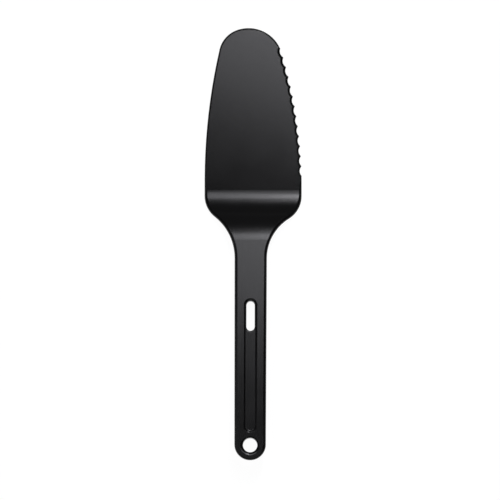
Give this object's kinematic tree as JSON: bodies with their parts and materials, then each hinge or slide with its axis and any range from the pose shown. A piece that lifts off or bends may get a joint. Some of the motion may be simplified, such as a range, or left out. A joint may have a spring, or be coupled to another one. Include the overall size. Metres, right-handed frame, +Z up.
{
  "type": "pastry server",
  "caption": "Black pastry server with a wedge blade, serrated right edge, cranked neck and a slotted handle with a hanging hole.",
  "frame": {"origin": "on the plane of the blade's flat underside, below the middle of the whole part's length and width", "axes": "+Y from the handle to the blade's tip, +X to the serrated edge, +Z up out of the blade's upper face"},
  "size_m": [0.0632, 0.2808, 0.0261],
  "materials": {
    "moulding": "satin black nylon",
    "insert": "satin black nylon"
  },
  "bodies": {
    "root": {"blade_and_handle": "moulding", "handle_insert": "insert"}
  },
  "joints": []
}
